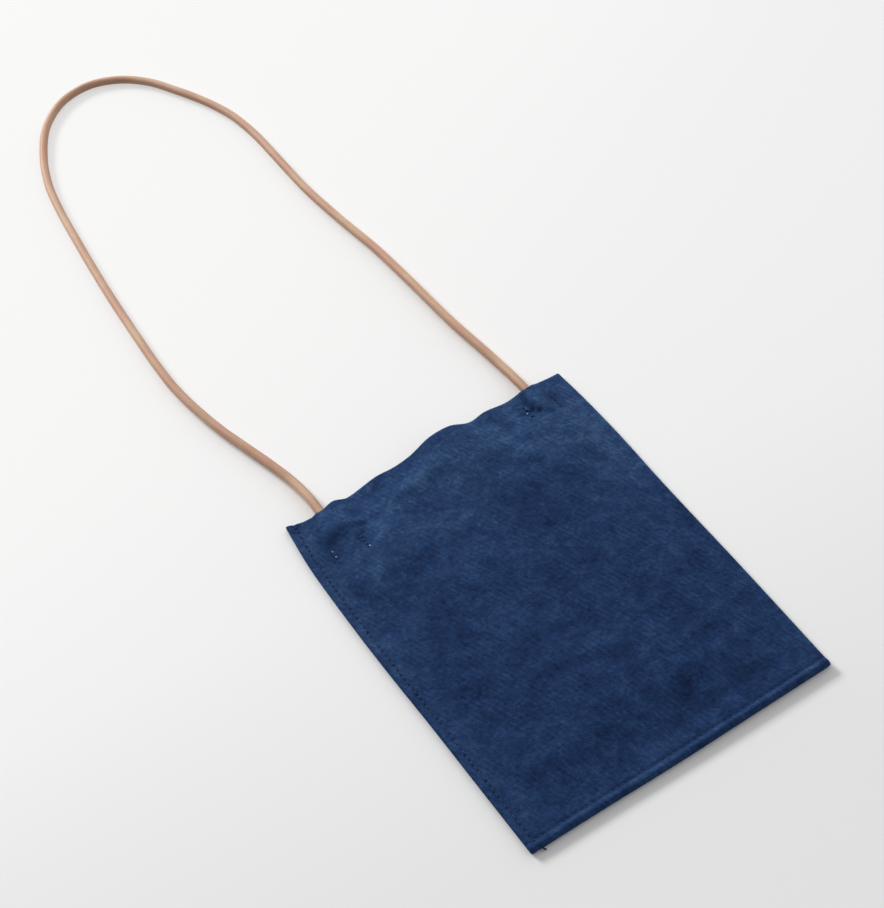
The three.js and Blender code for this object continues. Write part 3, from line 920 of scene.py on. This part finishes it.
# The folded sheet: front panel, fold at the right, back panel, sewn at the left and the bottom.
def canvas_pouch(material):
    columns, rows = panel_grid()
    last = len(columns) - 1
    bm = bmesh.new()
    sheet = bm.loops.layers.uv.new("canvas")
    wear_and_shade_layer = bm.verts.layers.float.new("wear")
    bmesh.ops.create_grid(bm, x_segments=2 * last, y_segments=len(rows) - 1, size=1)
    bm.verts.ensure_lookup_table()
    grid = np.array([vert.co for vert in bm.verts])
    column = np.rint((grid[:, 0] + 1) * last).astype(int)
    row = np.rint((grid[:, 1] + 1) / 2 * (len(rows) - 1)).astype(int)
    is_front = column <= last
    inset = columns[np.where(is_front, column, 2 * last - column)]
    up = rows[row]
    x, y = inset - HALF_WIDTH, up - MOUTH
    lift = edge_lift(inset, EDGE_RADIUS) * edge_lift(WIDTH - inset, EDGE_RADIUS)
    lift = lift * edge_lift(up, BOTTOM_ROUND)
    z = np.where(is_front, front_height(x, y), back_height(x, y))
    z = EDGE_RADIUS + (z - EDGE_RADIUS) * lift
    pinch = EDGE_PINCH * (1 - lift) ** 2
    place_x, place_y = plan_place(x, y, np.where(is_front, 1, BACK_SETBACK))
    place_x = place_x + pinch * (inset < EDGE_RADIUS)
    place_y = place_y + pinch * (up < EDGE_RADIUS)
    # Wear of the cloth and painted shade, kept at each point.
    wear = panel_wear_and_shade(x, y, is_front)
    for face in bm.faces:
        for loop in face.loops:
            i = loop.vert.index
            distance = inset[i] if is_front[i] else 2 * WIDTH - inset[i]
            loop[sheet].uv = (distance * MM, up[i] * MM)
    for vert in bm.verts:
        i = vert.index
        vert[wear_and_shade_layer] = wear[i]
        vert.co = Vector((place_x[i], place_y[i], z[i])) * MM
    bmesh.ops.remove_doubles(bm, verts=bm.verts, dist=MERGE * MM)
    pouch = add_piece("canvas_pouch", bm, material, "canvas", "canvas_body")
    add_wall(pouch, CLOTH)
    rim = pouch.modifiers.new("soft rim", "BEVEL")
    rim.limit_method = "ANGLE"
    rim.angle_limit = RIM_ANGLE
    rim.width = RIM_ROUND * MM
    rim.segments = RIM_STEPS
    return pouch


# One stitch: a grain of thread whose ends dip into the cloth.
def add_stitch(bm, place, heading, length, width):
    made = bmesh.ops.create_uvsphere(bm, u_segments=STITCH_SIDES, v_segments=STITCH_RINGS, radius=0.5)
    turn = Quaternion((0, 0, 1), heading)
    for vert in made["verts"]:
        share = vert.co.z * 2
        height = vert.co.y * width - STITCH_DIP * width * share**2
        dip = Vector((vert.co.x * width, -vert.co.z * length, height))
        vert.co = (place + turn @ dip) * MM


# Rows of stitches on both faces of the pouch, in the grooves of a seam.
def seam_stitches(name, start, end, count, material, node):
    bm = bmesh.new()
    start, end = Vector(start), Vector(end)
    run = (end - start).normalized()
    heading = math.atan2(-run.x, run.y)
    for i in range(count):
        flat = start.lerp(end, (i + 0.5) / count)
        lean = STITCH_LEAN * noise.noise(Vector((i * STITCH_VARIES, STITCH_LAYER, flat.x)))
        top = on_panel(flat.x, flat.y) + Vector((0, 0, STITCH_LIFT))
        add_stitch(bm, top, heading + lean, STITCH_LENGTH, THREAD_DIAMETER)
        low = Vector((top.x, top.y, seam_groove(flat.x, flat.y) + STITCH_BACK_LIFT))
        add_stitch(bm, low, heading - lean, STITCH_LENGTH, -THREAD_DIAMETER)
    return add_piece(name, bm, material, "thread", node)


# A tack: short stitches in a row, sewn tight, that hold a tab behind the panel.
def tack_stitches(name, end, side, material, node):
    bm = bmesh.new()
    across, along = tack_place(end, side)
    for i in range(TACK_STITCHES):
        place = on_panel(across, along + (i - (TACK_STITCHES - 1) / 2) * TACK_STEP)
        place = place + Vector((0, 0, TACK_LIFT))
        add_stitch(bm, place, TACK_TURN * (-1) ** i, TACK_LENGTH, TACK_WIDTH)
    return add_piece(name, bm, material, "thread", node)


# The canvas strip under a cord end: it dips under the cord and lies against the panel on both sides.
def cord_tab(name, end, material, node):
    bm = bmesh.new()
    sheet = bm.loops.layers.uv.new("canvas")
    bmesh.ops.create_grid(bm, x_segments=TAB_COLUMNS, y_segments=TAB_ROWS, size=1)
    for face in bm.faces:
        for loop in face.loops:
            across, along = (loop.vert.co.x + 1) / 2, (loop.vert.co.y + 1) / 2
            loop[sheet].uv = (across * 2 * TAB_HALF * MM, along * TAB_LENGTH * MM)
    low = CORD_Z - CORD_RADIUS - TAB_CLEAR
    for vert in bm.verts:
        off, along = vert.co.x * TAB_HALF, vert.co.y * TAB_LENGTH / 2
        place = on_panel(end["x"] + off, end["tab"] + along + off * end["slope"])
        high = place.z - CLOTH - TAB_CLEAR
        place.z = low + (high - low) * ease((abs(off) - CORD_RADIUS - TAB_CLEAR) / TAB_RISE)
        vert.co = place * MM
    tab = add_piece(name, bm, material, "canvas", node)
    add_wall(tab, TAB_CLOTH)
    return tab


# The cord wound round itself at its end, so that it can't slip through its tab.
def wound_knot(name, end, material, node):
    low, high = (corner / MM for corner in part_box(node))
    middle = (low + high) / 2
    middle.x = plan_place(end["x"], end["knot"], 0)[0]
    middle.z = CORD_Z + KNOT_LIFT
    size = (high - low) / 2 - Vector((KNOT_STRAND, KNOT_STRAND, KNOT_STRAND))
    size.z = KNOT_COVER - CLOTH - COVER_GAP - middle.z - KNOT_STRAND
    route = []
    for i in range(KNOT_STATIONS + 1):
        share = i / KNOT_STATIONS
        angle = 2 * math.pi * KNOT_TURNS * share
        off = Vector((math.cos(angle) * size.x, (1 - 2 * share) * size.y, math.sin(angle) * size.z))
        route.append(middle + off)
    return add_piece(name, tube(route, KNOT_STRAND, KNOT_SIDES), material, "cord_leather", node)


# The loop of cord, from one knot through its tab and the mouth, round and back to the other knot.
def leather_cord(material):
    def inside(end):
        from_knot = end["knot"] + KNOT_LENGTH / 2 + KNOT_GAP
        heights = (from_knot, end["tab"], MOUTH - CORD_RADIUS, MOUTH + CORD_DIAMETER)
        across = [float(plan_place(cord_across(end, y), min(y, MOUTH), 0)[0]) for y in heights]
        return [(x, y, CORD_Z) for x, y in zip(across, heights)]

    loop = [(x, MOUTH + beyond, CORD_REST) for x, beyond in LOOP_ROUTE]
    points = [*inside(ENDS["left"]), *loop, *reversed(inside(ENDS["right"]))]
    route = smooth_route(points, CORD_STEPS)
    made = tube(route, CORD_RADIUS, CORD_SIDES)
    cord = add_piece("tan_cord", made, material, "cord_leather", "leather_cord")
    length = sum((b - a).length for a, b in zip(route, route[1:]))
    return cord, route, length


# Loose ends: a snipped thread at the corner, and pale picks that show beside the tacks, partly as painted
# glints.
def loose_ends(thread, pale):
    made = tube(smooth_route(TAIL_ROUTE, TAIL_STEPS), TAIL_RADIUS, TAIL_SIDES)
    tail = add_piece("thread_tail", made, thread, "thread")
    bm = bmesh.new()
    for across, along in PICKS:
        place = on_panel(across, along) + Vector((0, 0, PICK_LIFT))
        add_stitch(bm, place, PICK_TURN, PICK_LENGTH, PICK_WIDTH)
    return tail, add_piece("pale_glint_picks", bm, pale, "thread")


# Camera, light and floor
def add_to_scene(name, data):
    made = bpy.data.objects.new(name, data)
    bpy.context.scene.collection.objects.link(made)
    return made


def aimed(place, aim):
    return (Vector(aim) - Vector(place)).to_track_quat("-Z", "Y")


def add_camera():
    camera = add_to_scene("camera", bpy.data.cameras.new("camera"))
    bpy.context.scene.camera = camera
    camera.location = Vector(CAMERA_PLACE) * MM
    camera.rotation_mode = "QUATERNION"
    camera.rotation_quaternion = aimed(CAMERA_PLACE, CAMERA_AIM) @ Quaternion((0, 0, 1), CAMERA_LEAN)
    camera.data.sensor_width = SENSOR
    camera.data.lens = FOCAL_PIXELS * SENSOR / PHOTO_HEIGHT
    camera.data.clip_start = NEAREST_SEEN
    camera.data.clip_end = FARTHEST_SEEN


def add_window():
    lamp = bpy.data.lights.new("window", "AREA")
    lamp.shape = "RECTANGLE"
    lamp.size, lamp.size_y = WINDOW_SIZE
    lamp.energy = WINDOW_POWER
    window = add_to_scene("window", lamp)
    window.location = WINDOW_PLACE
    window.rotation_mode = "QUATERNION"
    window.rotation_quaternion = aimed(WINDOW_PLACE, WINDOW_AIM)


# 1 for a ray that shows the background: straight to the camera, mirrored or through glass.
def seen_rays(start):
    kinds = ("Camera", "Glossy", "Transmission")
    first, *others = (start.node("LightPath", None, None, f"Is {kind} Ray") for kind in kinds)
    return sum(others, first).clamped()


def add_room():
    world = bpy.data.worlds.new("room")
    bpy.context.scene.world = world
    world.use_nodes = True
    background = world.node_tree.nodes["Background"]
    background.inputs["Color"].default_value = (1, 1, 1, 1)
    room = Shade(world.node_tree)
    toward = room.node("TexCoord", None, None, "Generated")
    light = ROOM_LIGHT + ROOM_TOWARD_MOUTH * toward.part("Y") + ROOM_TOWARD_RIGHT * toward.part("X")
    light = light.maths("MAXIMUM", ROOM_LEAST)
    link(background, "Strength", light + seen_rays(room) * (ROOM_SEEN - light))


# Pale floor: painted light makes its colour rise toward the window, and it goes white beyond the picture
# where it is seen.
def pale_paper():
    material, shader, start = finish("pale_floor", Roughness=0.7, Specular_IOR_Level=0.1)
    place = start.node("TexCoord", None, None, "Object")
    across, along = place.part("X"), place.part("Y")
    toward = along + across * (NEAR_SLANT - SLANT_LOST * along.mapped(0, SLANT_RUN))
    link(shader, "Base Color", ((toward - TONE_START) / TONE_RUN).ramped(FLOOR_FALLOFF_TONES))
    white = start.node("Emission", None, {"Color": colour(*FLOOR_WHITE), "Strength": 1.0})
    distance = place.node("VectorMath", {"operation": "DISTANCE"}, {0: place, 1: PICTURE_MIDDLE}, "Value")
    by_window = WINDOW_WHITE * toward.mapped(*WINDOW_WHITE_RUN)
    far = by_window.maths("MAXIMUM", FAR_WHITE * distance.mapped(*FAR_WHITE_RUN))
    plain = Shade(start.tree, shader.outputs["BSDF"])
    whitened = start.node("MixShader", None, {0: far * seen_rays(start), 1: plain, 2: white})
    link(start.tree.nodes["Material Output"], "Surface", whitened)
    return material


def add_floor():
    bm = bmesh.new()
    bmesh.ops.create_grid(bm, x_segments=1, y_segments=1, size=FLOOR_HALF)
    mesh = bpy.data.meshes.new("pale_floor")
    bm.to_mesh(mesh)
    bm.free()
    mesh.materials.append(pale_paper())
    floor = add_to_scene("pale_floor", mesh)
    floor.location.z = -FLOOR_DROP


add_camera()
leather = tan_leather()
canvas = indigo_canvas()
thread = blue_thread("blue_thread", BLUE_THREAD)
dark_and_shaded_thread = blue_thread("dark_and_shaded_thread", DARK_AND_SHADED_THREAD)
cord, cord_route, cord_length = leather_cord(leather)
pouch = canvas_pouch(canvas)
seams = [
    seam_stitches(
        "side_stitches", (SIDE_SEAM, BOTTOM_SEAM + SEAM_END), (SIDE_SEAM, MOUTH - SEAM_END),
        SIDE_STITCHES, thread, "side_seam_thread",
    ),
    seam_stitches(
        "bottom_stitches", (SEAM_END - HALF_WIDTH, BOTTOM_SEAM), (HALF_WIDTH - SEAM_END, BOTTOM_SEAM),
        BOTTOM_STITCHES, thread, "bottom_seam_thread",
    ),
]
# The right tacks get the darker thread, partly painted shade of their pucker.
tack_threads = {"left": thread, "right": dark_and_shaded_thread}
knots, sewn_on = [], []
for name, end in ENDS.items():
    knots.append(wound_knot(f"{name}_wound_knot", end, leather, f"{name}_stop_knot"))
    sewn_on.append(cord_tab(f"{name}_sewn_tab", end, canvas, f"{name}_cord_tab"))
    for label, side in (("outer", end["side"]), ("inner", -end["side"])):
        tack = tack_stitches(f"{name}_{label}_bar", end, side, tack_threads[name], f"{name}_{label}_tack")
        sewn_on.append(tack)
sewn_on += loose_ends(thread, pale_glint_thread())
cord_length * MM
[point * MM for point in cord_route]
add_room()
add_window()
add_floor()
bpy.context.scene.view_settings.view_transform = "Standard"
